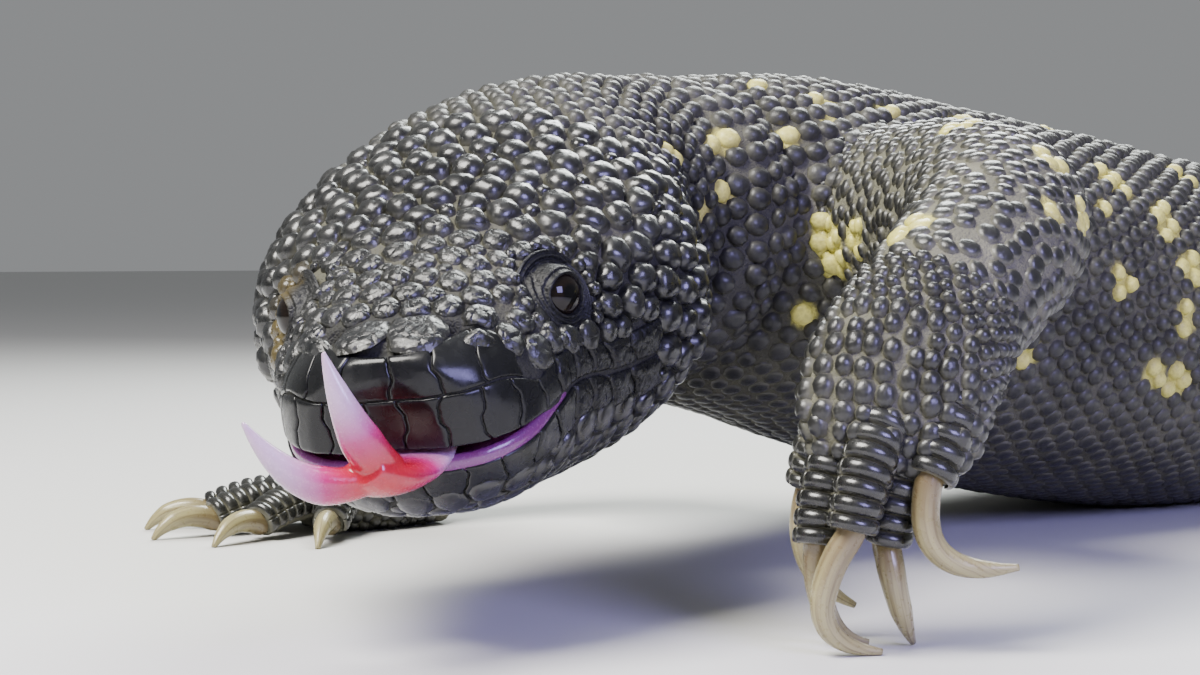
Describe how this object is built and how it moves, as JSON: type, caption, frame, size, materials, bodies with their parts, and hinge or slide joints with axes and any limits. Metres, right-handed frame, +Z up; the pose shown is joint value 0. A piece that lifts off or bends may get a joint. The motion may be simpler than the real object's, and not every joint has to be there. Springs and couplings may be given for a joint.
{
  "type": "beaded lizard",
  "caption": "Life-size still model of an adult black beaded lizard, propped on its forelimbs with its tongue out and its tail laid on the floor.",
  "frame": {"origin": "on the floor, under the middle of the animal's box", "axes": "+Z up, the body's length along Y with the head towards -Y, the animal's left side towards +X"},
  "size_m": [0.2539, 0.6711, 0.0747],
  "materials": {
    "hide": "glossy black beaded hide with small pale yellow spots",
    "throat": "glossy black beaded hide, pinkish at the lip's inner edge",
    "claw_horn": "ivory horn",
    "eye": "wet black",
    "tongue_flesh": "moist pink"
  },
  "bodies": {
    "root": {"head": "hide", "jaw": "throat", "neck": "hide", "torso": "hide", "tail_base": "hide", "tail_middle": "hide", "tail_tip": "hide", "tongue": "tongue_flesh", "eye_left": "eye", "eye_right": "eye", "upper_arm_left": "hide", "forearm_left": "hide", "hand_left": "hide", "thigh_left": "hide", "shin_left": "hide", "foot_left": "hide", "upper_arm_right": "hide", "forearm_right": "hide", "hand_right": "hide", "thigh_right": "hide", "shin_right": "hide", "foot_right": "hide", "claw_hand_left_1": "claw_horn", "claw_hand_left_2": "claw_horn", "claw_hand_left_3": "claw_horn", "claw_hand_left_4": "claw_horn", "claw_hand_left_5": "claw_horn", "claw_foot_left_1": "claw_horn", "claw_foot_left_2": "claw_horn", "claw_foot_left_3": "claw_horn", "claw_foot_left_4": "claw_horn", "claw_foot_left_5": "claw_horn", "claw_hand_right_1": "claw_horn", "claw_hand_right_2": "claw_horn", "claw_hand_right_3": "claw_horn", "claw_hand_right_4": "claw_horn", "claw_hand_right_5": "claw_horn", "claw_foot_right_1": "claw_horn", "claw_foot_right_2": "claw_horn", "claw_foot_right_3": "claw_horn", "claw_foot_right_4": "claw_horn", "claw_foot_right_5": "claw_horn"}
  },
  "joints": []
}
